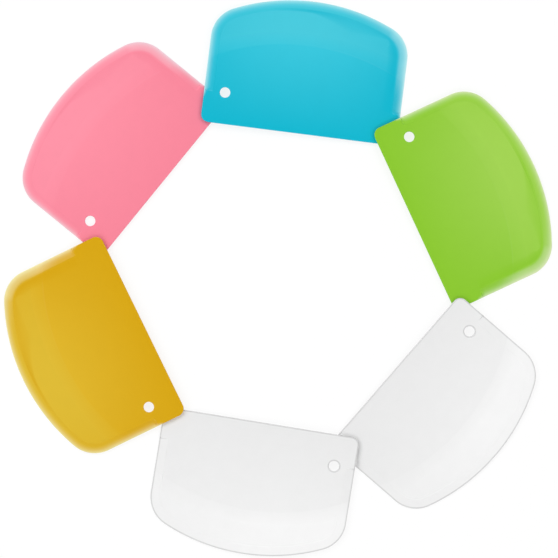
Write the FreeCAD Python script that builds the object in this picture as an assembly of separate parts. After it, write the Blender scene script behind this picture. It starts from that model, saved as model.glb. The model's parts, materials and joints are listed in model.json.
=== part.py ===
import FreeCAD, Part
import math
import os

# A set of flat D-shaped plastic scrapers, laid out in a ring with their straight edges inward and the
# corners of those edges lapped. All sizes are in millimetres.
#
# Each scraper is one moulding. It is drawn in its own frame: X runs along the straight edge from its
# middle, Y from the straight edge to the curved edge, and Z up from the flat back to the shaped front.

# Outline of one scraper
WIDTH = 120.0              # along the straight edge, between two parallel sides
DEPTH = 80.6               # from the straight edge to the crown of the curved edge
CURVE_RADIUS = 119.0       # curved working edge
SHOULDER_RADIUS = 19.4     # between a side and the curved edge
CORNER_RADIUS = 4.8        # at each end of the straight edge

# Thickness, which falls from the grip along the straight edge to the thin flexible blade
GRIP_THICKNESS = 2.0       # at the straight edge
CREASE_THICKNESS = 1.6     # at the crown of the crease, the arc where the blade starts
BLADE_THICKNESS = 1.2      # from the foot of the ramp to the bevel
RIM_THICKNESS = 0.5        # at the very edge, outside the bevel
CREASE_DEPTH = 53.6        # from the straight edge to the crown of the crease
CREASE_RADIUS = 148.0
RAMP_WIDTH = 7.0           # from the crease to the foot of the ramp

# Bevel that thins the sides and the curved edge
BEVEL_WIDTH = 5.4
BEVEL_START = 19.1         # distance from the straight edge at which the bevel begins, abruptly

# Hole to hang the scraper by
HOLE_RADIUS = 3.15
HOLE_INSET = 12.8          # from the side at -X
HOLE_DEPTH = 19.1          # from the straight edge

# Small rounding where the front meets the walls, round the grip and the hole
EDGE_ROUNDING = 0.4

# Clear air between two scrapers where one lies on the other
LAP_GAP = 0.15

# The ring. Each entry has the node, the direction its curved edge faces in degrees anticlockwise from
# +X, the distance of its straight edge from the middle of the ring, its shift along its own X, and
# what it lies on. The first lies flat on the table and the last closes the ring.
RING = [
    ("scraper_pink", 140.8, 91.7, 2.2, "table"),
    ("scraper_blue", 82.8, 88.9, 0.8, "neighbour"),
    ("scraper_green", 24.9, 88.9, 2.4, "neighbour"),
    ("scraper_white_right", 319.1, 89.1, -4.5, "neighbour"),
    ("scraper_white_bottom", 260.8, 87.5, -4.1, "neighbour"),
    ("scraper_yellow", 206.0, 85.6, 11.9, "both neighbours"),
]

# Points worked out from the outline
HALF = WIDTH / 2.0
HOLE_X = HOLE_INSET - HALF
CURVE_Y = DEPTH - CURVE_RADIUS
SHOULDER_X = HALF - SHOULDER_RADIUS
SHOULDER_Y = CURVE_Y + math.sqrt((CURVE_RADIUS - SHOULDER_RADIUS) ** 2 - SHOULDER_X ** 2)
SHOULDER_ANGLE = math.degrees(math.atan2(SHOULDER_Y - CURVE_Y, SHOULDER_X))

# Slopes of the front, as height lost per millimetre
GRIP_SLOPE = (GRIP_THICKNESS - CREASE_THICKNESS) / CREASE_DEPTH
RAMP_SLOPE = (CREASE_THICKNESS - BLADE_THICKNESS) / RAMP_WIDTH
CREASE_Y = CREASE_DEPTH - CREASE_RADIUS

# How far the cutting shapes reach past what they cut
CUT_TOP = 6.0
CUT_MARGIN = 1.0

# Rounds that settle where the ramp starts
ROUNDS = 20

UP = FreeCAD.Vector(0, 0, 1)


def vector(x, y, z=0.0):
    return FreeCAD.Vector(x, y, z)


def arc(centre_x, centre_y, radius, start, end):
    """A level arc between two angles in degrees, anticlockwise."""
    points = []
    for angle in (start, (start + end) / 2.0, end):
        turn = math.radians(angle)
        points.append(vector(centre_x + radius * math.cos(turn), centre_y + radius * math.sin(turn)))
    return Part.Arc(*points).toShape()


def line(x1, y1, x2, y2):
    return Part.makeLine(vector(x1, y1), vector(x2, y2))


def polygon_face(points):
    return Part.Face(Part.makePolygon(points + [points[0]]))


def outline_face():
    """The scraper seen from above, without its hole."""
    low = CORNER_RADIUS
    right = HALF - CORNER_RADIUS
    edges = [
        line(-right, 0, right, 0),
        arc(right, low, CORNER_RADIUS, -90, 0),
        line(HALF, low, HALF, SHOULDER_Y),
        arc(SHOULDER_X, SHOULDER_Y, SHOULDER_RADIUS, 0, SHOULDER_ANGLE),
        arc(0, CURVE_Y, CURVE_RADIUS, SHOULDER_ANGLE, 180 - SHOULDER_ANGLE),
        arc(-SHOULDER_X, SHOULDER_Y, SHOULDER_RADIUS, 180 - SHOULDER_ANGLE, 180),
        line(-HALF, SHOULDER_Y, -HALF, low),
        arc(-right, low, CORNER_RADIUS, 180, 270),
    ]
    return Part.Face(Part.Wire(edges))


def grip_height(y):
    """Height of the sloping front over the grip."""
    return GRIP_THICKNESS - GRIP_SLOPE * y


def grip_cutter():
    """Everything above the sloping front of the grip, which runs on over the blade."""
    near = -CUT_MARGIN
    far = DEPTH + CUT_MARGIN
    side = -HALF - CUT_MARGIN
    section = polygon_face([
        vector(side, near, grip_height(near)),
        vector(side, far, grip_height(far)),
        vector(side, far, CUT_TOP),
        vector(side, near, CUT_TOP),
    ])
    return section.extrude(vector(WIDTH + 2 * CUT_MARGIN, 0))


def blade_cutter():
    """Everything above the blade and its ramp, turned about the middle of the crease arc."""
    inside = CREASE_RADIUS - RAMP_WIDTH
    foot = CREASE_RADIUS + RAMP_WIDTH
    outside = CREASE_RADIUS + DEPTH
    section = polygon_face([
        vector(inside, CREASE_Y, CREASE_THICKNESS + RAMP_SLOPE * RAMP_WIDTH),
        vector(foot, CREASE_Y, BLADE_THICKNESS),
        vector(outside, CREASE_Y, BLADE_THICKNESS),
        vector(outside, CREASE_Y, CUT_TOP),
        vector(inside, CREASE_Y, CUT_TOP),
    ])
    return section.revolve(vector(0, CREASE_Y), UP, 180)


def bevel_section(edge_x, y, thickness):
    """Section of what the bevel removes, across an edge at edge_x, where the front is this thick."""
    slope = (thickness - RIM_THICKNESS) / BEVEL_WIDTH
    outer = edge_x + CUT_MARGIN
    inner = edge_x - BEVEL_WIDTH - CUT_MARGIN
    return [
        vector(outer, y, RIM_THICKNESS - slope * CUT_MARGIN),
        vector(inner, y, thickness + slope * CUT_MARGIN),
        vector(inner, y, CUT_TOP),
        vector(outer, y, CUT_TOP),
    ]


def border_crossing(radius):
    """Where an arc about the crease's centre crosses the inner border of the side bevel."""
    return CREASE_Y + math.sqrt(radius ** 2 - (HALF - BEVEL_WIDTH) ** 2)


def ramp_start():
    """Where the ramp meets the grip at that border. The grip is thicker there than at the crown, so
    the ramp starts a little earlier, which a few rounds settle."""
    y = border_crossing(CREASE_RADIUS)
    for _ in range(ROUNDS):
        early = (grip_height(y) - CREASE_THICKNESS) / RAMP_SLOPE
        y = border_crossing(CREASE_RADIUS - early)
    return y


def bevel_cutters():
    """What the bevel removes along one side, one shoulder and the whole curved edge."""
    stations = [
        (BEVEL_START, grip_height(BEVEL_START)),
        (ramp_start(), grip_height(ramp_start())),
        (border_crossing(CREASE_RADIUS + RAMP_WIDTH), BLADE_THICKNESS),
        (SHOULDER_Y, BLADE_THICKNESS),
    ]
    wires = []
    for y, thickness in stations:
        section = bevel_section(HALF, y, thickness)
        wires.append(Part.makePolygon(section + [section[0]]))
    side = Part.makeLoft(wires, True, True)

    shoulder_section = polygon_face(bevel_section(HALF, SHOULDER_Y, BLADE_THICKNESS))
    shoulder = shoulder_section.revolve(vector(SHOULDER_X, SHOULDER_Y), UP, SHOULDER_ANGLE)

    crown_section = polygon_face(bevel_section(CURVE_RADIUS, CURVE_Y, BLADE_THICKNESS))
    crown_section.rotate(vector(0, CURVE_Y), UP, SHOULDER_ANGLE)
    crown = crown_section.revolve(vector(0, CURVE_Y), UP, 180 - 2 * SHOULDER_ANGLE)
    return side, shoulder, crown


def mirrored(shape):
    return shape.mirror(vector(0, 0), vector(1, 0))


def rounded_edges(plate):
    """The front's edges round the grip, as far as the bevel, and the front rim of the hole."""
    edges = []
    for edge in plate.Edges:
        middle = edge.BoundBox.Center
        on_front = middle.z > CREASE_THICKNESS and edge.BoundBox.ZLength < CREASE_THICKNESS / 2
        by_wall = abs(middle.x) > HALF - CORNER_RADIUS or middle.y < CORNER_RADIUS
        by_bevel = middle.y > BEVEL_START - CORNER_RADIUS
        from_hole = math.hypot(middle.x - HOLE_X, middle.y - HOLE_DEPTH)
        at_hole = from_hole < HOLE_RADIUS / 2 and edge.Length > HOLE_RADIUS
        if on_front and (at_hole or (by_wall and not by_bevel)):
            edges.append(edge)
    return edges


def scraper():
    """One scraper in its own frame."""
    plate = outline_face().extrude(vector(0, 0, GRIP_THICKNESS + CUT_MARGIN))
    side, shoulder, crown = bevel_cutters()
    hole = Part.makeCylinder(HOLE_RADIUS, CUT_TOP, vector(HOLE_X, HOLE_DEPTH, -CUT_MARGIN))
    plate = plate.cut(grip_cutter())
    plate = plate.cut(blade_cutter())
    for cutter in (side, shoulder, crown, mirrored(side), mirrored(shoulder), hole):
        plate = plate.cut(cutter)
    plate = plate.removeSplitter()
    return plate.makeFillet(EDGE_ROUNDING, rounded_edges(plate)).Solids[0]


def flat_place(bearing, distance, shift):
    """Where a scraper of the ring lies before it is lifted at its laps."""
    turn = math.radians(bearing)
    outward = vector(math.cos(turn), math.sin(turn))
    along = vector(math.sin(turn), -math.cos(turn))
    return FreeCAD.Placement(outward * distance + along * shift, FreeCAD.Rotation(UP, bearing - 90))


def front_height(place, x, y):
    """Height of a placed scraper's grip above the table, over the point x, y."""
    local = place.inverse().multVec(vector(x, y, GRIP_THICKNESS))
    return place.multVec(vector(local.x, local.y, grip_height(local.y))).z


def lift_angle(flat, below, arm):
    """The tilt in degrees that carries a scraper over the ones below it. arm gives how far a point of
    the scraper's own frame is from the line that it tilts about."""
    outline = outline_face()
    outline.Placement = flat
    angle = 0.0
    for under_flat, under_place in below:
        under = outline_face()
        under.Placement = under_flat
        for vertex in outline.common(under).Vertexes:
            reach = arm(flat.inverse().multVec(vertex.Point))
            needed = front_height(under_place, vertex.X, vertex.Y) + LAP_GAP
            angle = max(angle, math.degrees(math.asin(needed / reach)))
    return angle


def side_arm(point):
    return HALF - point.x


def crown_arm(point):
    return DEPTH - point.y


def tilted(flat, axis, angle, pivot):
    turn = FreeCAD.Placement(vector(0, 0), FreeCAD.Rotation(axis, angle), pivot)
    return flat.multiply(turn)


def places():
    """Each scraper's place. Laid on one neighbour, it tilts about its side at +X, which stays on the
    table. Laid on both, it tilts about the crown of its curved edge."""
    laid = []
    placed = {}
    for node, bearing, distance, shift, support in RING:
        flat = flat_place(bearing, distance, shift)
        place = flat
        if support == "neighbour":
            angle = lift_angle(flat, [laid[-1]], side_arm)
            place = tilted(flat, vector(0, 1), angle, vector(HALF, 0))
        if support == "both neighbours":
            angle = lift_angle(flat, [laid[-1], laid[0]], crown_arm)
            place = tilted(flat, vector(1, 0), -angle, vector(0, DEPTH))
        laid.append((flat, place))
        placed[node] = place
    return placed


def main():
    """Every scraper in its place. The origin is on the table, under the middle of the box round the
    ring."""
    plate = scraper()
    shapes = {}
    for node, place in places().items():
        shape = plate.copy()
        shape.Placement = place
        shapes[node] = shape
    box = Part.makeCompound(list(shapes.values())).optimalBoundingBox(False, False)
    centring = vector(-box.Center.x, -box.Center.y)
    for shape in shapes.values():
        shape.translate(centring)
    return shapes


if __name__ == "__main__":
    os.makedirs("parts", exist_ok=True)
    for name, scraper_shape in main().items():
        scraper_shape.exportStep("parts/" + name + ".step")
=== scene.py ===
import json
import math

import bpy
import numpy as np
from mathutils import Matrix, Vector, geometry


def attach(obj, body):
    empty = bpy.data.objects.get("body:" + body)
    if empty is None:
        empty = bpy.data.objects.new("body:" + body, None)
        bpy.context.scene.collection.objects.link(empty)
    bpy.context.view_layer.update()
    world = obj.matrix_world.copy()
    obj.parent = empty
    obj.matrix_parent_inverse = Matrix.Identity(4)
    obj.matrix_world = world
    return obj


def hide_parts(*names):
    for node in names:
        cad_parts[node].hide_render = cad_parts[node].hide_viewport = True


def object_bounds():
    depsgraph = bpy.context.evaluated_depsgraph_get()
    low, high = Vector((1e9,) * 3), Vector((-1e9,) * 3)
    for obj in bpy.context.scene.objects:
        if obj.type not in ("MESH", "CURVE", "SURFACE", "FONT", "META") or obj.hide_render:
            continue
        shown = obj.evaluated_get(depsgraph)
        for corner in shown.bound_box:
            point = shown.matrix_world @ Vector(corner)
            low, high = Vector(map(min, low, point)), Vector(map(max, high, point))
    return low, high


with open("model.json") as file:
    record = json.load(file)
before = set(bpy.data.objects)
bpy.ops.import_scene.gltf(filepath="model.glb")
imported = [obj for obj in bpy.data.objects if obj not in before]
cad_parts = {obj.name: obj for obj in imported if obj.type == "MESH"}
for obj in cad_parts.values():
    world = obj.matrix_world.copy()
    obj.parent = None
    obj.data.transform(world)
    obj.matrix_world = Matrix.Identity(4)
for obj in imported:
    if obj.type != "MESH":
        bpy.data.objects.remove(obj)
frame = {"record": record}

# Six flat plastic scrapers in a ring. Each is one moulding, built here as one fine mesh that stands
# for its CAD node and rides on its body.
#
# A scraper is worked out in millimetres in its own frame: X runs along the straight edge from its
# middle, Y from the straight edge to the curved edge, and Z up from the flat back to the front.

CAD_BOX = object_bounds()
MM = 0.001

# Outline
WIDTH = 120.0
DEPTH = 80.6
CURVE_RADIUS = 119.0
SHOULDER_RADIUS = 19.4
CORNER_RADIUS = 4.8

# Thickness
GRIP_THICKNESS = 2.0
CREASE_THICKNESS = 1.6
BLADE_THICKNESS = 1.2
RIM_THICKNESS = 0.5
CREASE_DEPTH = 53.6
CREASE_RADIUS = 148.0
RAMP_WIDTH = 7.0
CREASE_BLEND = 0.02        # height over which the grip, the ramp and the blade melt together

# Bevel along the sides and the curved edge, with a fine groove and bead along its inner border
BEVEL_WIDTH = 5.4
BEVEL_BLEND = 0.03
BEVEL_START = 19.1
STEP = 1.1                 # length over which the bevel begins
GROOVE_AT = 5.95
GROOVE_WIDTH = 0.9
GROOVE_HEIGHT = 0.045
BEAD_AT = 6.75
BEAD_WIDTH = 0.8
BEAD_HEIGHT = 0.02

# Hanging hole
HOLE_RADIUS = 3.15
HOLE_INSET = 12.8
HOLE_DEPTH = 19.1

# Rounding of the front's edges, round the grip and the hole, and along the thin rim
EDGE_ROUNDING = 0.4
RIM_ROUNDING = 0.15

# Worked out from the outline
HALF = WIDTH / 2.0
HOLE_X = HOLE_INSET - HALF
CURVE_Y = DEPTH - CURVE_RADIUS
SHOULDER_X = HALF - SHOULDER_RADIUS
SHOULDER_Y = CURVE_Y + math.sqrt((CURVE_RADIUS - SHOULDER_RADIUS) ** 2 - SHOULDER_X ** 2)
SHOULDER_ANGLE = math.degrees(math.atan2(SHOULDER_Y - CURVE_Y, SHOULDER_X))
GRIP_SLOPE = (GRIP_THICKNESS - CREASE_THICKNESS) / CREASE_DEPTH
RAMP_SLOPE = (CREASE_THICKNESS - BLADE_THICKNESS) / RAMP_WIDTH
CREASE_Y = CREASE_DEPTH - CREASE_RADIUS
STEP_LOW = BEVEL_START - STEP / 2.0
STEP_HIGH = BEVEL_START + STEP / 2.0

# Where the thin bevel carries a painted highlight: round the shoulder at +X, by the direction in
# degrees that the rim faces, and up that side, by the distance from the straight edge
LIT_FULLY = 50.0
LIT_NOT = 78.0
LIT_RISE_START = 28.0
LIT_RISE_END = 46.0
LIT_LEAST = 0.1

# Paleness of the thin rim, with its painted highlight, which narrows towards the straight edge and has
# gone along the grip
PALE_FULL_START = 21.0     # full width from here on
PALE_FADE_START = 17.0
PALE_END = 12.0
PALE_NARROWING = 0.4       # for each millimetre
PALE_FADE = 6.0            # added distance that takes the paleness away
CROWN_START = 55.0
CROWN_FULL = 70.0
CROWN_SHIFT = 0.2          # added distance round the crown, where the rim is a little less pale

# The shade along the bevel's inner border, by the direction in degrees that the rim faces, from 0 at
# +X to 180 at -X: how far it is from the rim, how slowly it trails off inward, and how deep it is
SHADE_PLACE = [(20.0, 7.3), (40.0, 7.1), (60.0, 6.4), (75.0, 6.0), (90.0, 6.1), (104.0, 5.2)]
SHADE_TRAIL = [(35.0, 5.5), (55.0, 1.2), (65.0, 1.2), (77.0, 9.0), (90.0, 1.4), (104.0, 1.0)]
SHADE_DEPTH = [(20.0, 0.8), (40.0, 0.66), (60.0, 0.5), (77.0, 0.42), (90.0, 0.7), (104.0, 0.25)]

# Fineness of the mesh
OUTLINE_STEP = 1.2
CORNER_STEP = OUTLINE_STEP / 3.0
STEP_PARTS = 7
ROUNDING_TURNS = np.radians([0.0, 20.0, 40.0, 60.0, 75.0, 90.0])
RING_INSETS = [0.7, 1.1, 1.6, 2.2, 2.8]
BEVEL_INSETS = np.concatenate([[3.5, 4.2, 4.8], np.arange(5.2, 7.7, 0.2), [8.1]])
HOLE_PARTS = 64
HOLE_RINGS = [0.8, 1.5]
CREASE_ROWS = [-0.9, -0.45, 0.0, 0.45, 0.9]
CREASE_STEP = 1.5
CREASE_ROUNDS = 12         # that settle a line of points beside the crease
GRID_STEP = 2.3
GRID_MARGIN = 1.1
SLOPE_STEP = 0.01          # reach of the differences that give slopes
MERGE_REACH = 1e-6         # points closer than this are one


def smooth_step(value):
    value = np.clip(value, 0.0, 1.0)
    return value * value * (3.0 - 2.0 * value)


def soft_min(first, second, blend):
    near = np.maximum(blend - np.abs(first - second), 0.0) / blend
    return np.minimum(first, second) - near * near * blend / 4.0


def hump(distance, middle, width):
    """A smooth ridge of height 1 across a distance."""
    return smooth_step(1.0 - np.abs(distance - middle) / width * 2.0)


def bevel_share(y):
    """0 along the grip, where the edge keeps its full thickness, and 1 where it is bevelled."""
    return smooth_step((y - STEP_LOW) / STEP)


def rim_distance(x, y):
    """How far a point is inside the sides, the shoulders and the curved edge."""
    out_x = np.abs(x) - SHOULDER_X
    out_y = y - SHOULDER_Y
    side = HALF - np.abs(x)
    crown = CURVE_RADIUS - np.hypot(x, y - CURVE_Y)
    shoulder = SHOULDER_RADIUS - np.hypot(out_x, out_y)
    angle = np.degrees(np.arctan2(out_y, out_x))
    at_shoulder = (angle > 0.0) & (angle < SHOULDER_ANGLE)
    return np.where(at_shoulder, shoulder, np.minimum(side, crown))


def edge_distance(x, y):
    """How far a point is inside the whole outline."""
    low_x = np.abs(x) - (HALF - CORNER_RADIUS)
    low_y = CORNER_RADIUS - y
    corner = CORNER_RADIUS - np.hypot(low_x, low_y)
    at_corner = (low_x > 0.0) & (low_y > 0.0)
    return np.where(at_corner, corner, np.minimum(rim_distance(x, y), y))


def hole_distance(x, y):
    return np.hypot(x - HOLE_X, y - HOLE_DEPTH) - HOLE_RADIUS


def crease_distance(x, y):
    """How far a point is past the crease, towards the curved edge."""
    early = (GRIP_THICKNESS - GRIP_SLOPE * y - CREASE_THICKNESS) / RAMP_SLOPE
    return np.hypot(x, y - CREASE_Y) - CREASE_RADIUS + early


def plate_thickness(x, y):
    """Thickness before the bevel: the sloping grip, the ramp past the crease, and the level blade."""
    grip = GRIP_THICKNESS - GRIP_SLOPE * y
    ramp = CREASE_THICKNESS - RAMP_SLOPE * (np.hypot(x, y - CREASE_Y) - CREASE_RADIUS)
    blade = -soft_min(-ramp, -BLADE_THICKNESS, CREASE_BLEND)
    return soft_min(grip, blade, CREASE_BLEND)


def front_height(x, y):
    """Height of the front above the flat back, before its edges are rounded."""
    thickness = plate_thickness(x, y)
    rim = rim_distance(x, y)
    facet = RIM_THICKNESS + (thickness - RIM_THICKNESS) * rim / BEVEL_WIDTH
    bevelled = soft_min(thickness, facet, BEVEL_BLEND)
    bevelled = bevelled - GROOVE_HEIGHT * hump(rim, GROOVE_AT, GROOVE_WIDTH)
    bevelled = bevelled + BEAD_HEIGHT * hump(rim, BEAD_AT, BEAD_WIDTH)
    return thickness + (bevelled - thickness) * bevel_share(y)


def edge_rounding(y):
    return EDGE_ROUNDING + (RIM_ROUNDING - EDGE_ROUNDING) * bevel_share(y)


def rounding_drop(distance, radius):
    """How far a quarter round lowers the front, at a distance inside the wall."""
    inside = np.clip(distance, 0.0, radius)
    return radius - np.sqrt(np.maximum(2.0 * radius * inside - inside * inside, 0.0))


def slopes(function, x, y):
    """How fast a function rises along X and along Y."""
    along_x = function(x + SLOPE_STEP, y) - function(x - SLOPE_STEP, y)
    along_y = function(x, y + SLOPE_STEP) - function(x, y - SLOPE_STEP)
    return along_x / (2.0 * SLOPE_STEP), along_y / (2.0 * SLOPE_STEP)


def normalised(rows):
    return rows / np.linalg.norm(rows, axis=1, keepdims=True)


def tilt_outward(normals, outward, distance, radius):
    """Turns the front's normals outward over a rounded edge."""
    share = np.clip(1.0 - distance / radius, 0.0, 1.0)[:, None]
    rounded = normals * np.sqrt(1.0 - share ** 2) + normalised(outward) * share
    return normalised(rounded)


def flat_rows(x, y):
    return np.column_stack([x, y, np.zeros(len(x))])


def wall_normals(x, y):
    """The outward direction of the nearest wall, round the outline or in the hole."""
    away_x, away_y = slopes(edge_distance, x, y)
    outer = flat_rows(-away_x, -away_y)
    inner = flat_rows(HOLE_X - x, HOLE_DEPTH - y)
    at_hole = (hole_distance(x, y) < edge_distance(x, y))[:, None]
    return np.where(at_hole, inner, outer)


def front_normals(x, y):
    rise_x, rise_y = slopes(front_height, x, y)
    normals = normalised(np.column_stack([-rise_x, -rise_y, np.ones(len(x))]))
    outward = wall_normals(x, y)
    normals = tilt_outward(normals, outward, edge_distance(x, y), edge_rounding(y))
    return tilt_outward(normals, outward, hole_distance(x, y), EDGE_ROUNDING)


def line_samples(start, end, step):
    """Points of a straight run without its last one, with the outward normal, which is to its right."""
    start = np.array(start)
    run = np.array(end) - start
    count = max(1, round(np.linalg.norm(run) / step))
    share = np.linspace(0.0, 1.0, count, endpoint=False)[:, None]
    normal = np.array([run[1], -run[0]]) / np.linalg.norm(run)
    return np.hstack([start + run * share, np.tile(normal, (count, 1))])


def arc_samples(centre, radius, start, end, step):
    """Points of an arc without its last one, with the outward normal."""
    count = max(4, round(math.radians(end - start) * radius / step))
    angles = np.radians(np.linspace(start, end, count, endpoint=False))
    normals = np.column_stack([np.cos(angles), np.sin(angles)])
    return np.hstack([np.array(centre) + radius * normals, normals])


def side_samples(side, low, high):
    """One side, from height to height, with close points where the bevel begins."""
    stops = sorted([low, STEP_LOW, STEP_HIGH, high], reverse=side < 0)
    runs = []
    for start, end in zip(stops[:-1], stops[1:]):
        at_step = abs(end - start) < STEP * 1.5
        step = STEP / STEP_PARTS if at_step else OUTLINE_STEP
        runs.append(line_samples((side * HALF, start), (side * HALF, end), step))
    return np.vstack(runs)


def outline_samples():
    """The outline anticlockwise, as rows of x, y and the outward normal's x, y."""
    reach = HALF - CORNER_RADIUS
    turn = SHOULDER_ANGLE
    return np.vstack([
        line_samples((-reach, 0.0), (reach, 0.0), OUTLINE_STEP),
        arc_samples((reach, CORNER_RADIUS), CORNER_RADIUS, -90.0, 0.0, CORNER_STEP),
        side_samples(1, CORNER_RADIUS, SHOULDER_Y),
        arc_samples((SHOULDER_X, SHOULDER_Y), SHOULDER_RADIUS, 0.0, turn, OUTLINE_STEP),
        arc_samples((0.0, CURVE_Y), CURVE_RADIUS, turn, 180.0 - turn, OUTLINE_STEP),
        arc_samples((-SHOULDER_X, SHOULDER_Y), SHOULDER_RADIUS, 180.0 - turn, 180.0, OUTLINE_STEP),
        side_samples(-1, CORNER_RADIUS, SHOULDER_Y),
        arc_samples((-reach, CORNER_RADIUS), CORNER_RADIUS, 180.0, 270.0, CORNER_STEP),
    ])


def inset(samples, distance):
    return samples[:, :2] - samples[:, 2:] * np.reshape(distance, (-1, 1))


def hole_ring(radius):
    angles = np.linspace(0.0, 2.0 * math.pi, HOLE_PARTS, endpoint=False)
    return np.column_stack([HOLE_X + radius * np.cos(angles), HOLE_DEPTH + radius * np.sin(angles)])


def row_places():
    """Where the points of a row are along X, as far as the bevel on both sides."""
    reach = HALF - BEVEL_INSETS[-1] - GRID_MARGIN / 2.0
    return np.linspace(-reach, reach, round(2.0 * reach / CREASE_STEP))


def crease_row(offset):
    """A line of points beside the crease."""
    x = row_places()
    y = np.full(len(x), CREASE_DEPTH)
    for _ in range(CREASE_ROUNDS):
        y = y - (crease_distance(x, y) - offset)
    return np.column_stack([x, y])


def foot_row(offset):
    """A line of points beside the foot of the ramp."""
    x = row_places()
    radius = CREASE_RADIUS + RAMP_WIDTH + offset
    return np.column_stack([x, CREASE_Y + np.sqrt(radius ** 2 - x ** 2)])


def grid_points():
    """A triangular grid over the inside, clear of the rings and rows."""
    row_step = GRID_STEP * math.sqrt(0.75)
    points = []
    for row in range(int(DEPTH / row_step) + 1):
        shift = GRID_STEP / 2.0 * (row % 2)
        x = np.arange(-HALF + shift, HALF, GRID_STEP)
        points.append(np.column_stack([x, np.full(len(x), row * row_step)]))
    points = np.vstack(points)
    x, y = points.T
    foot = np.hypot(x, y - CREASE_Y) - CREASE_RADIUS - RAMP_WIDTH
    row_reach = CREASE_ROWS[-1] + GRID_MARGIN
    keep = edge_distance(x, y) > RING_INSETS[-1] + GRID_MARGIN
    keep &= (y < STEP_LOW - GRID_MARGIN) | (rim_distance(x, y) > BEVEL_INSETS[-1] + GRID_MARGIN)
    keep &= hole_distance(x, y) > HOLE_RINGS[-1] + GRID_MARGIN
    keep &= np.abs(crease_distance(x, y)) > row_reach
    keep &= np.abs(foot) > row_reach
    return points[keep]


def plan():
    """The scraper seen from above: its points, and the triangles between them, anticlockwise."""
    samples = outline_samples()
    bevelled = samples[samples[:, 1] > STEP_LOW - STEP]
    closed = []
    for turn in ROUNDING_TURNS:
        lean = 1.0 - math.cos(turn)
        closed.append(inset(samples, edge_rounding(samples[:, 1]) * lean))
        closed.append(hole_ring(HOLE_RADIUS + EDGE_ROUNDING * lean))
    closed += [inset(samples, distance) for distance in RING_INSETS]
    closed += [hole_ring(HOLE_RADIUS + distance) for distance in HOLE_RINGS]
    rows = [inset(bevelled, distance) for distance in BEVEL_INSETS]
    rows += [crease_row(offset) for offset in CREASE_ROWS]
    rows += [foot_row(offset) for offset in CREASE_ROWS]

    points = []
    links = []
    for number, line in enumerate(closed + rows):
        first = len(points)
        points += [Vector(point) for point in line]
        links += [(index, index + 1) for index in range(first, len(points) - 1)]
        if number < len(closed):
            links.append((len(points) - 1, first))
    points += [Vector(point) for point in grid_points()]
    found, _, triangles, *_ = geometry.delaunay_2d_cdt(points, links, [], 0, MERGE_REACH)
    found = np.array([tuple(point) for point in found])
    triangles = np.array([tuple(corners) for corners in triangles])
    middle = found[triangles].mean(axis=1)
    chord_gap = HOLE_RADIUS * (1.0 - math.cos(math.pi / HOLE_PARTS))
    in_hole = hole_distance(middle[:, 0], middle[:, 1]) < -chord_gap
    return found, triangles[~in_hole]


def border(triangles):
    """The edges that only one triangle has, in its direction."""
    edges = triangles[:, [0, 1, 1, 2, 2, 0]].reshape(-1, 2)
    seen = {tuple(edge) for edge in edges}
    return np.array([edge for edge in edges if (edge[1], edge[0]) not in seen])


def facing(x, y):
    """The direction that the nearest stretch of rim faces, in degrees: 0 at +X and 180 at -X."""
    away_x, away_y = slopes(rim_distance, x, y)
    return np.abs(np.degrees(np.arctan2(-away_y, -away_x)))


def painted_highlight_share(x, y):
    """How much painted highlight the bevel carries: 0 along the side by the hole, 1 round the far
    shoulder.
    """
    round_crown = smooth_step((LIT_NOT - facing(x, y)) / (LIT_NOT - LIT_FULLY))
    up_side = smooth_step((y - LIT_RISE_START) / (LIT_RISE_END - LIT_RISE_START))
    return round_crown * (LIT_LEAST + (1.0 - LIT_LEAST) * up_side)


def pale_distance(x, y):
    """The distance from the rim that its paleness and painted highlight go by."""
    narrowing = 1.0 + PALE_NARROWING * np.clip(PALE_FULL_START - y, 0.0, PALE_FULL_START - PALE_END)
    along_grip = PALE_FADE * smooth_step((PALE_FADE_START - y) / (PALE_FADE_START - PALE_END))
    round_crown = CROWN_SHIFT * smooth_step((y - CROWN_START) / (CROWN_FULL - CROWN_START))
    return rim_distance(x, y) * narrowing + along_grip + round_crown


def by_facing(towards, stops):
    """A value for each direction that the rim faces, from a list of (degrees, value)."""
    degrees, values = zip(*stops)
    return np.interp(towards, degrees, values)


def shade_distance(x, y):
    """How far a point is inside the deepest line of the shade along the bevel's inner border. Where
    the shade trails off slowly inward, the distance is shortened."""
    towards = facing(x, y)
    inside = rim_distance(x, y) + (1.0 - bevel_share(y)) * HALF - by_facing(towards, SHADE_PLACE)
    return np.where(inside > 0.0, inside / by_facing(towards, SHADE_TRAIL), inside)


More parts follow.
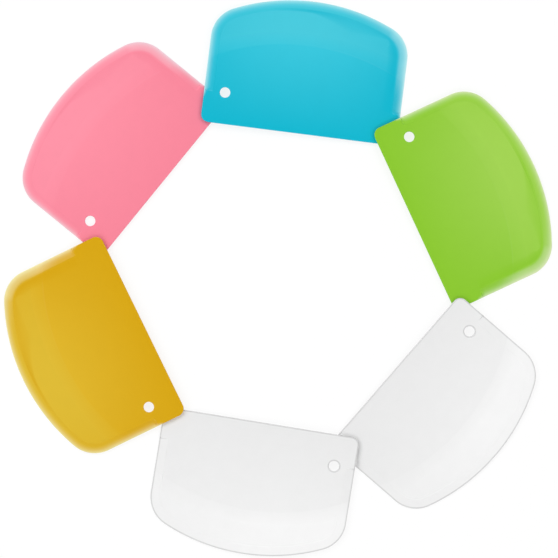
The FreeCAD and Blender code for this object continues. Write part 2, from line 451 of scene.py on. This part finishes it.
def scraper_mesh(name, place, points, triangles):
    """The closed mesh of one scraper in its place, with exact normals and what its material needs."""
    x, y = points.T
    count = len(points)
    height = front_height(x, y)
    height = height - rounding_drop(edge_distance(x, y), edge_rounding(y))
    height = height - rounding_drop(hole_distance(x, y), EDGE_ROUNDING)
    front = np.column_stack([x, y, height])
    back = flat_rows(x, y)
    walls = border(triangles)
    wall_faces = np.column_stack([walls[:, 0], walls[:, 0] + count, walls[:, 1] + count, walls[:, 1]])
    faces = triangles.tolist() + (triangles[:, ::-1] + count).tolist() + wall_faces.tolist()
    turn = np.array(place.to_3x3())
    verts = np.vstack([front, back]) * MM @ turn.T + np.array(place.translation)
    mesh = bpy.data.meshes.new(name)
    mesh.from_pydata(verts.tolist(), [], faces)
    mesh.update()

    down = np.tile([0.0, 0.0, -1.0], (3 * len(triangles), 1))
    sideways = normalised(wall_normals(x, y))[wall_faces.ravel() % count]
    normals = np.vstack([front_normals(x, y)[triangles.ravel()], down, sideways])
    mesh.shade_smooth()
    mesh.normals_split_custom_set((normals @ turn.T).tolist())

    facts = {
        "thickness": plate_thickness(x, y),
        "rim": pale_distance(x, y),
        "edge": np.minimum(edge_distance(x, y), hole_distance(x, y)),
        "crease": crease_distance(x, y),
        # share of the painted highlight on the bevel
        "lit": painted_highlight_share(x, y),
        "shade": shade_distance(x, y),
        "shade_share": by_facing(facing(x, y), SHADE_DEPTH),
        "across": x / HALF,
    }
    for fact, values in facts.items():
        layer = mesh.attributes.new(fact, "FLOAT", "POINT")
        layer.data.foreach_set("value", np.tile(values, 2).astype(np.float32))
    return mesh


# Materials. Each colour is given as it shows on a screen, for three thicknesses, since the plastic
# is a little translucent and pales as it thins.
PALETTE = {
    "pink_plastic": [(250, 138, 158), (255, 147, 166), (255, 150, 169)],
    "blue_plastic": [(27, 185, 210), (62, 201, 223), (76, 204, 223)],
    "green_plastic": [(142, 203, 54), (160, 211, 82), (165, 214, 87)],
    "white_plastic": [(236, 236, 236), (243, 243, 243), (249, 249, 249)],
    "yellow_plastic": [(217, 168, 28), (225, 183, 49), (224, 188, 58)],
}
# The colour that the thin rim of a coloured scraper pales to, partly as a painted highlight, and how
# strongly
RIM_COLOURS = {
    "pink_plastic": ((232, 250, 255), 0.95),
    "blue_plastic": ((215, 252, 252), 1.35),
    "green_plastic": ((250, 248, 225), 1.19),
    "yellow_plastic": ((251, 250, 200), 1.38),
}
# grey of the painted edge shade that outlines a white scraper
EDGE_SHADE_GREY = (208, 208, 208)
GLOSS_LIGHT = 0.008        # light that the gloss adds to every colour
DARKEST = 0.001            # least light that a colour is left with

# Shares of the rim colour by distance from the rim: where the bevel only pales as it thins, and where a
# painted highlight brightens it
FAINT_BEVEL = [(0.0, 0.47), (0.6, 0.33), (1.2, 0.225), (1.8, 0.135), (2.4, 0.075), (3.0, 0.037),
               (3.6, 0.012), (4.2, 0.0)]
PALE_AND_HIGHLIT_BEVEL = [(0.0, 0.6), (0.6, 0.45), (1.2, 0.375), (1.8, 0.31), (2.4, 0.255), (3.0, 0.215),
                (3.6, 0.185), (4.2, 0.155), (4.8, 0.11), (5.4, 0.045), (6.0, 0.0)]

# Other shares, by distance: of the painted shade across its deepest line, of the grey outline of
# painted edge shade of a white scraper inside its walls, and of the painted light along the crease
SHADE = [(-3.0, 0.0), (-1.5, 0.3), (-0.4, 1.0), (0.13, 1.0), (0.31, 0.85), (0.49, 0.65), (0.67, 0.42),
         (0.85, 0.1), (1.0, 0.0)]
EDGE_SHADE = [(0.0, 0.8), (0.6, 0.8), (1.0, 0.0)]
CREASE_LIGHT = [(-0.6, 0.0), (0.0, 1.0), (0.6, 0.0)]

# How the body's colour varies. Places across are shares of half the width, from -1 at the hole's side.
BLADE_ONSET = 0.4          # distance on each side of the crease over which the blade's colour comes in
BLADE_SHARE = 0.35
WHITE_DEEPENING = (-0.2, 1.0)
WHITE_DEPTH = 0.5
PALEST_ACROSS = -0.1
SIDE_DEPTH = 0.85          # how much deeper the colour is at the sides of the grip
SIDE_DEPTH_LOSS = 0.4      # how much less of that the blade has
CREASE_LIGHT_RISE = (-0.3, 0.6)
CREASE_LIGHT_SHARE = 0.02

# Surface: a faint mottle in the colour, an uneven gloss, and a fine grain over slow waves. Each noise
# has its scale in features per metre, its detail and, for the mottle, its roughness.
MOTTLE = (140.0, 4.0, 0.6)
MOTTLE_SHADES = [(0.3, 0.985), (0.7, 1.0)]
GLOSS_NOISE = (900.0, 3.0)
LEAST_ROUGHNESS = 0.2
ROUGHNESS_RANGE = 0.08
GRAIN = (4200.0, 3.0)
GRAIN_SHARE = 0.35
WAVES = (90.0, 1.0)
BUMP_STRENGTH = 0.25
BUMP_HEIGHT = 0.00006
REFRACTION = 1.49
SPECULAR_LEVEL = 0.3


def linear(colour):
    """A screen colour as linear light."""
    share = np.array(colour) / 255.0
    light = np.where(share <= 0.04045, share / 12.92, ((share + 0.055) / 1.055) ** 2.4)
    return (*light, 1.0)


def without_gloss(colour):
    """A screen colour as the light that the plastic itself has to give, since its gloss adds some."""
    light = np.maximum(np.array(linear(colour)[:3]) - GLOSS_LIGHT, DARKEST)
    return (*light, 1.0)


class Nodes:
    """Short calls for the node tree of one material or world."""

    def __init__(self, owner, shader):
        owner.use_nodes = True
        self.tree = owner.node_tree
        self.shader = self.tree.nodes[shader]

    def add(self, kind, **settings):
        made = self.tree.nodes.new(kind)
        for key, value in settings.items():
            setattr(made, key, value)
        return made

    def link(self, value, socket):
        """Joins an output to a socket, or sets a plain value on it."""
        if isinstance(value, bpy.types.NodeSocket):
            self.tree.links.new(value, socket)
        else:
            socket.default_value = value

    def fact(self, name):
        return self.add("ShaderNodeAttribute", attribute_name=name).outputs["Fac"]

    def math(self, operation, *values):
        made = self.add("ShaderNodeMath", operation=operation)
        for value, socket in zip(values, made.inputs):
            self.link(value, socket)
        return made.outputs[0]

    def spread(self, value, low, high):
        """A value as a share of the way from low to high."""
        made = self.add("ShaderNodeMapRange")
        self.link(value, made.inputs["Value"])
        self.link(low, made.inputs["From Min"])
        self.link(high, made.inputs["From Max"])
        return made.outputs["Result"]

    def shares(self, distance, stops, ease=False):
        """A share for each distance, from a rising list of (millimetres, share)."""
        low = stops[0][0]
        high = stops[-1][0]
        scaled = [((place - low) / (high - low), share) for place, share in stops]
        return self.ramp(self.spread(distance, low, high), scaled, ease)

    def ramp(self, share, stops, ease=False):
        """A colour or a grey for each share, from a list of (share, colour or grey)."""
        made = self.add("ShaderNodeValToRGB")
        made.color_ramp.interpolation = "EASE" if ease else "LINEAR"
        while len(made.color_ramp.elements) < len(stops):
            made.color_ramp.elements.new(1.0)
        for element, (place, value) in zip(made.color_ramp.elements, stops):
            element.position = place
            element.color = value if isinstance(value, tuple) else (value, value, value, 1.0)
        self.link(share, made.inputs["Fac"])
        return made.outputs["Color"]

    def mix(self, share, first, second, blend="MIX"):
        made = self.add("ShaderNodeMix", data_type="RGBA", blend_type=blend)
        self.link(share, made.inputs["Factor"])
        self.link(first, made.inputs["A"])
        self.link(second, made.inputs["B"])
        return made.outputs["Result"]

    def noise(self, scale, detail, roughness=0.5):
        """Cloudy noise fixed to the piece."""
        place = self.add("ShaderNodeTexCoord").outputs["Object"]
        made = self.add("ShaderNodeTexNoise")
        self.link(place, made.inputs["Vector"])
        self.link(scale, made.inputs["Scale"])
        self.link(detail, made.inputs["Detail"])
        self.link(roughness, made.inputs["Roughness"])
        return made.outputs["Fac"]


def white_body(nodes, body, grip):
    """A white scraper's colour: a little deeper towards +X, with a fine grey outline of painted shade
    along its edges.
    """
    deepening = nodes.spread(nodes.fact("across"), *WHITE_DEEPENING)
    body = nodes.mix(nodes.math("MULTIPLY", deepening, WHITE_DEPTH), body, grip)
    # painted edge shade: a grey outline inside the walls
    return nodes.mix(nodes.shares(nodes.fact("edge"), EDGE_SHADE), body, linear(EDGE_SHADE_GREY))


def coloured_body(nodes, body, grip, thinness, rim_colour, strength):
    """A coloured scraper's colour: deeper at the sides, with painted light along the crease, painted
    shade along the bevel's inner border and a pale rim with a painted highlight round the far shoulder."""
    across = nodes.fact("across")
    off_palest = nodes.math("SUBTRACT", across, PALEST_ACROSS)
    depth = nodes.math("MULTIPLY", off_palest, off_palest)
    by_place = nodes.math("SUBTRACT", SIDE_DEPTH, nodes.math("MULTIPLY", thinness, SIDE_DEPTH_LOSS))
    body = nodes.mix(nodes.math("MULTIPLY", depth, by_place), body, grip)

    crease_light = nodes.shares(nodes.fact("crease"), CREASE_LIGHT)
    far_side = nodes.math("MULTIPLY", nodes.spread(across, *CREASE_LIGHT_RISE), CREASE_LIGHT_SHARE)
    body = nodes.mix(nodes.math("MULTIPLY", crease_light, far_side), body, rim_colour)

    shade = nodes.shares(nodes.fact("shade"), SHADE, ease=True)
    body = nodes.mix(nodes.math("MULTIPLY", shade, nodes.fact("shade_share")), body, grip)

    rim = nodes.fact("rim")
    # the rim pales as the plastic thins, and round the far shoulder a painted highlight adds to it
    pale = nodes.mix(nodes.fact("lit"), nodes.shares(rim, FAINT_BEVEL), nodes.shares(rim, PALE_AND_HIGHLIT_BEVEL))
    return nodes.mix(nodes.math("MULTIPLY", pale, strength), body, rim_colour)


def plastic(slot):
    """Glossy, slightly translucent plastic: deepest in the thick grip, paler in the blade, and palest
    in the thin bevelled rim, where a painted highlight adds to the paleness round the far shoulder."""
    material = bpy.data.materials.new(slot)
    nodes = Nodes(material, "Principled BSDF")
    grip, crease, blade = (without_gloss(colour) for colour in PALETTE[slot])

    thinness = nodes.spread(nodes.fact("thickness"), GRIP_THICKNESS, BLADE_THICKNESS)
    body = nodes.ramp(thinness, [(0.0, grip), (0.5, crease), (1.0, blade)])
    past_crease = nodes.spread(nodes.fact("crease"), -BLADE_ONSET, BLADE_ONSET)
    body = nodes.mix(nodes.math("MULTIPLY", past_crease, BLADE_SHARE), body, blade)
    if slot in RIM_COLOURS:
        rim_colour, strength = RIM_COLOURS[slot]
        body = coloured_body(nodes, body, grip, thinness, linear(rim_colour), strength)
    else:
        body = white_body(nodes, body, grip)
    body = nodes.mix(1.0, body, nodes.ramp(nodes.noise(*MOTTLE), MOTTLE_SHADES), "MULTIPLY")
    nodes.link(body, nodes.shader.inputs["Base Color"])

    roughness = nodes.math("MULTIPLY_ADD", nodes.noise(*GLOSS_NOISE), ROUGHNESS_RANGE, LEAST_ROUGHNESS)
    nodes.link(roughness, nodes.shader.inputs["Roughness"])
    nodes.link(REFRACTION, nodes.shader.inputs["IOR"])
    nodes.link(SPECULAR_LEVEL, nodes.shader.inputs["Specular IOR Level"])

    grain = nodes.math("MULTIPLY", nodes.noise(*GRAIN), GRAIN_SHARE)
    bump = nodes.add("ShaderNodeBump")
    nodes.link(BUMP_STRENGTH, bump.inputs["Strength"])
    nodes.link(BUMP_HEIGHT, bump.inputs["Distance"])
    nodes.link(nodes.math("ADD", grain, nodes.noise(*WAVES)), bump.inputs["Height"])
    nodes.link(bump.outputs["Normal"], nodes.shader.inputs["Normal"])
    return material


def scraper_place(mounts, joints, body):
    """A scraper's own frame at rest: from its hole, and from its slide or, on the first, its back."""
    hole = mounts[body + "_hole"]
    middle = Vector(hole["pos_m"])
    up = Vector(hole["axis"]).normalized()
    if body + "_slide" in joints:
        along = Vector(joints[body + "_slide"]["axis"]).cross(up).normalized()
    else:
        along = Vector(mounts[body + "_back"]["pos_m"]) - middle
        along = (along - up * along.dot(up)).normalized()
    turn = Matrix([along, up.cross(along), up]).transposed()
    hole_place = Vector((HOLE_X, HOLE_DEPTH, hole["dims"]["length_mm"] / 2.0)) * MM
    return Matrix.Translation(middle - turn @ hole_place) @ turn.to_4x4()


def make_scrapers():
    record = frame["record"]
    mounts = {mount["name"]: mount for mount in record["mounts"]}
    joints = {joint["name"]: joint for joint in record["behaviour"]["joints"]}
    slots = {part["node"]: part["material_slot"] for part in record["subparts"]}
    materials = {slot: plastic(slot) for slot in PALETTE}
    points, triangles = plan()
    for body, nodes in record["behaviour"]["bodies"].items():
        node = nodes[0]
        place = scraper_place(mounts, joints, body)
        mesh = scraper_mesh("plate_" + body, place, points, triangles)
        mesh.materials.append(materials[slots[node]])
        plate = bpy.data.objects.new("plate_" + body, mesh)
        bpy.context.scene.collection.objects.link(plate)
        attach(plate, body)
        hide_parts(node)


# Floor, in metres: level and round, and then curving up into a low backdrop
FLOOR_RADII = [0.5, 3.2]
SWEEP_RADIUS = 0.9
SWEEP_TURNS = np.radians(np.linspace(7.5, 90.0, 12))
FLOOR_PARTS = 96
FLOOR_COLOUR = (0.2, 0.2, 0.2, 1.0)
WHITE = (1.0, 1.0, 1.0, 1.0)
FLOOR_GLOW = 0.8           # it is lit from below as well, like a light table

# Sky: its brightness by how high a direction points, from 0 for level or below to 1 for straight up.
# It is dim overhead, so that the plastic's colours stay deep.
SKY = [(0.0, 0.2), (0.45, 0.25), (0.6, 1.0), (0.78, 1.0), (0.85, 0.1)]
SKY_STRENGTH = 1.83

# Key light, in metres and watts
KEY_PLACE = (-1.3, 1.2, 1.7)
KEY_SIZE = 1.6
KEY_POWER = 10.0

# Camera, in millimetres for the lens and metres for the rest
CAMERA_LENS = 200.0
FRAME_WIDTH = 0.3387       # width of the view at the table
VIEW_SHIFT = Vector((0.0006, -0.0005, 0.0))


def make_floor():
    """A pale round floor that curves up into a low backdrop."""
    profile = [(radius, 0.0) for radius in FLOOR_RADII]
    for turn in SWEEP_TURNS:
        outward = SWEEP_RADIUS * math.sin(turn)
        profile.append((FLOOR_RADII[-1] + outward, SWEEP_RADIUS * (1.0 - math.cos(turn))))
    verts = [(0.0, 0.0, 0.0)]
    faces = []
    for radius, height in profile:
        for part in range(FLOOR_PARTS):
            turn = 2.0 * math.pi * part / FLOOR_PARTS
            verts.append((radius * math.cos(turn), radius * math.sin(turn), height))
    for part in range(FLOOR_PARTS):
        following = (part + 1) % FLOOR_PARTS
        faces.append((0, 1 + part, 1 + following))
        for ring in range(len(profile) - 1):
            inner = 1 + ring * FLOOR_PARTS
            outer = inner + FLOOR_PARTS
            faces.append((inner + part, outer + part, outer + following, inner + following))
    mesh = bpy.data.meshes.new("studio_floor")
    mesh.from_pydata(verts, [], faces)
    mesh.shade_smooth()
    material = bpy.data.materials.new("studio_floor")
    nodes = Nodes(material, "Principled BSDF")
    nodes.link(FLOOR_COLOUR, nodes.shader.inputs["Base Color"])
    nodes.link(1.0, nodes.shader.inputs["Roughness"])
    nodes.link(0.0, nodes.shader.inputs["Specular IOR Level"])
    nodes.link(WHITE, nodes.shader.inputs["Emission Color"])
    nodes.link(FLOOR_GLOW, nodes.shader.inputs["Emission Strength"])
    mesh.materials.append(material)
    floor = bpy.data.objects.new("studio_floor", mesh)
    floor.location.z = CAD_BOX[0].z
    bpy.context.scene.collection.objects.link(floor)


def make_world():
    """Soft light from all round."""
    world = bpy.data.worlds.new("studio")
    bpy.context.scene.world = world
    nodes = Nodes(world, "Background")
    direction = nodes.add("ShaderNodeSeparateXYZ")
    nodes.link(nodes.add("ShaderNodeTexCoord").outputs["Generated"], direction.inputs["Vector"])
    sky = nodes.ramp(direction.outputs["Z"], SKY, ease=True)
    nodes.link(sky, nodes.shader.inputs["Color"])
    nodes.link(SKY_STRENGTH, nodes.shader.inputs["Strength"])


def make_key():
    """One large soft light to the upper left."""
    light = bpy.data.lights.new("key", "AREA")
    light.shape = "DISK"
    light.size = KEY_SIZE
    light.energy = KEY_POWER
    key = bpy.data.objects.new("key", light)
    key.location = KEY_PLACE
    key.rotation_euler = (-key.location).to_track_quat("-Z", "Y").to_euler()
    bpy.context.scene.collection.objects.link(key)


def make_camera():
    """Straight down on the ring, with +Y up in the picture."""
    data = bpy.data.cameras.new("camera")
    data.lens = CAMERA_LENS
    camera = bpy.data.objects.new("camera", data)
    low, high = CAD_BOX
    camera.location = (low + high) / 2.0 + VIEW_SHIFT
    camera.location.z = FRAME_WIDTH * CAMERA_LENS / data.sensor_width
    bpy.context.scene.collection.objects.link(camera)
    bpy.context.scene.camera = camera


make_scrapers()
make_floor()
make_world()
make_key()
make_camera()
bpy.context.scene.view_settings.view_transform = "Standard"
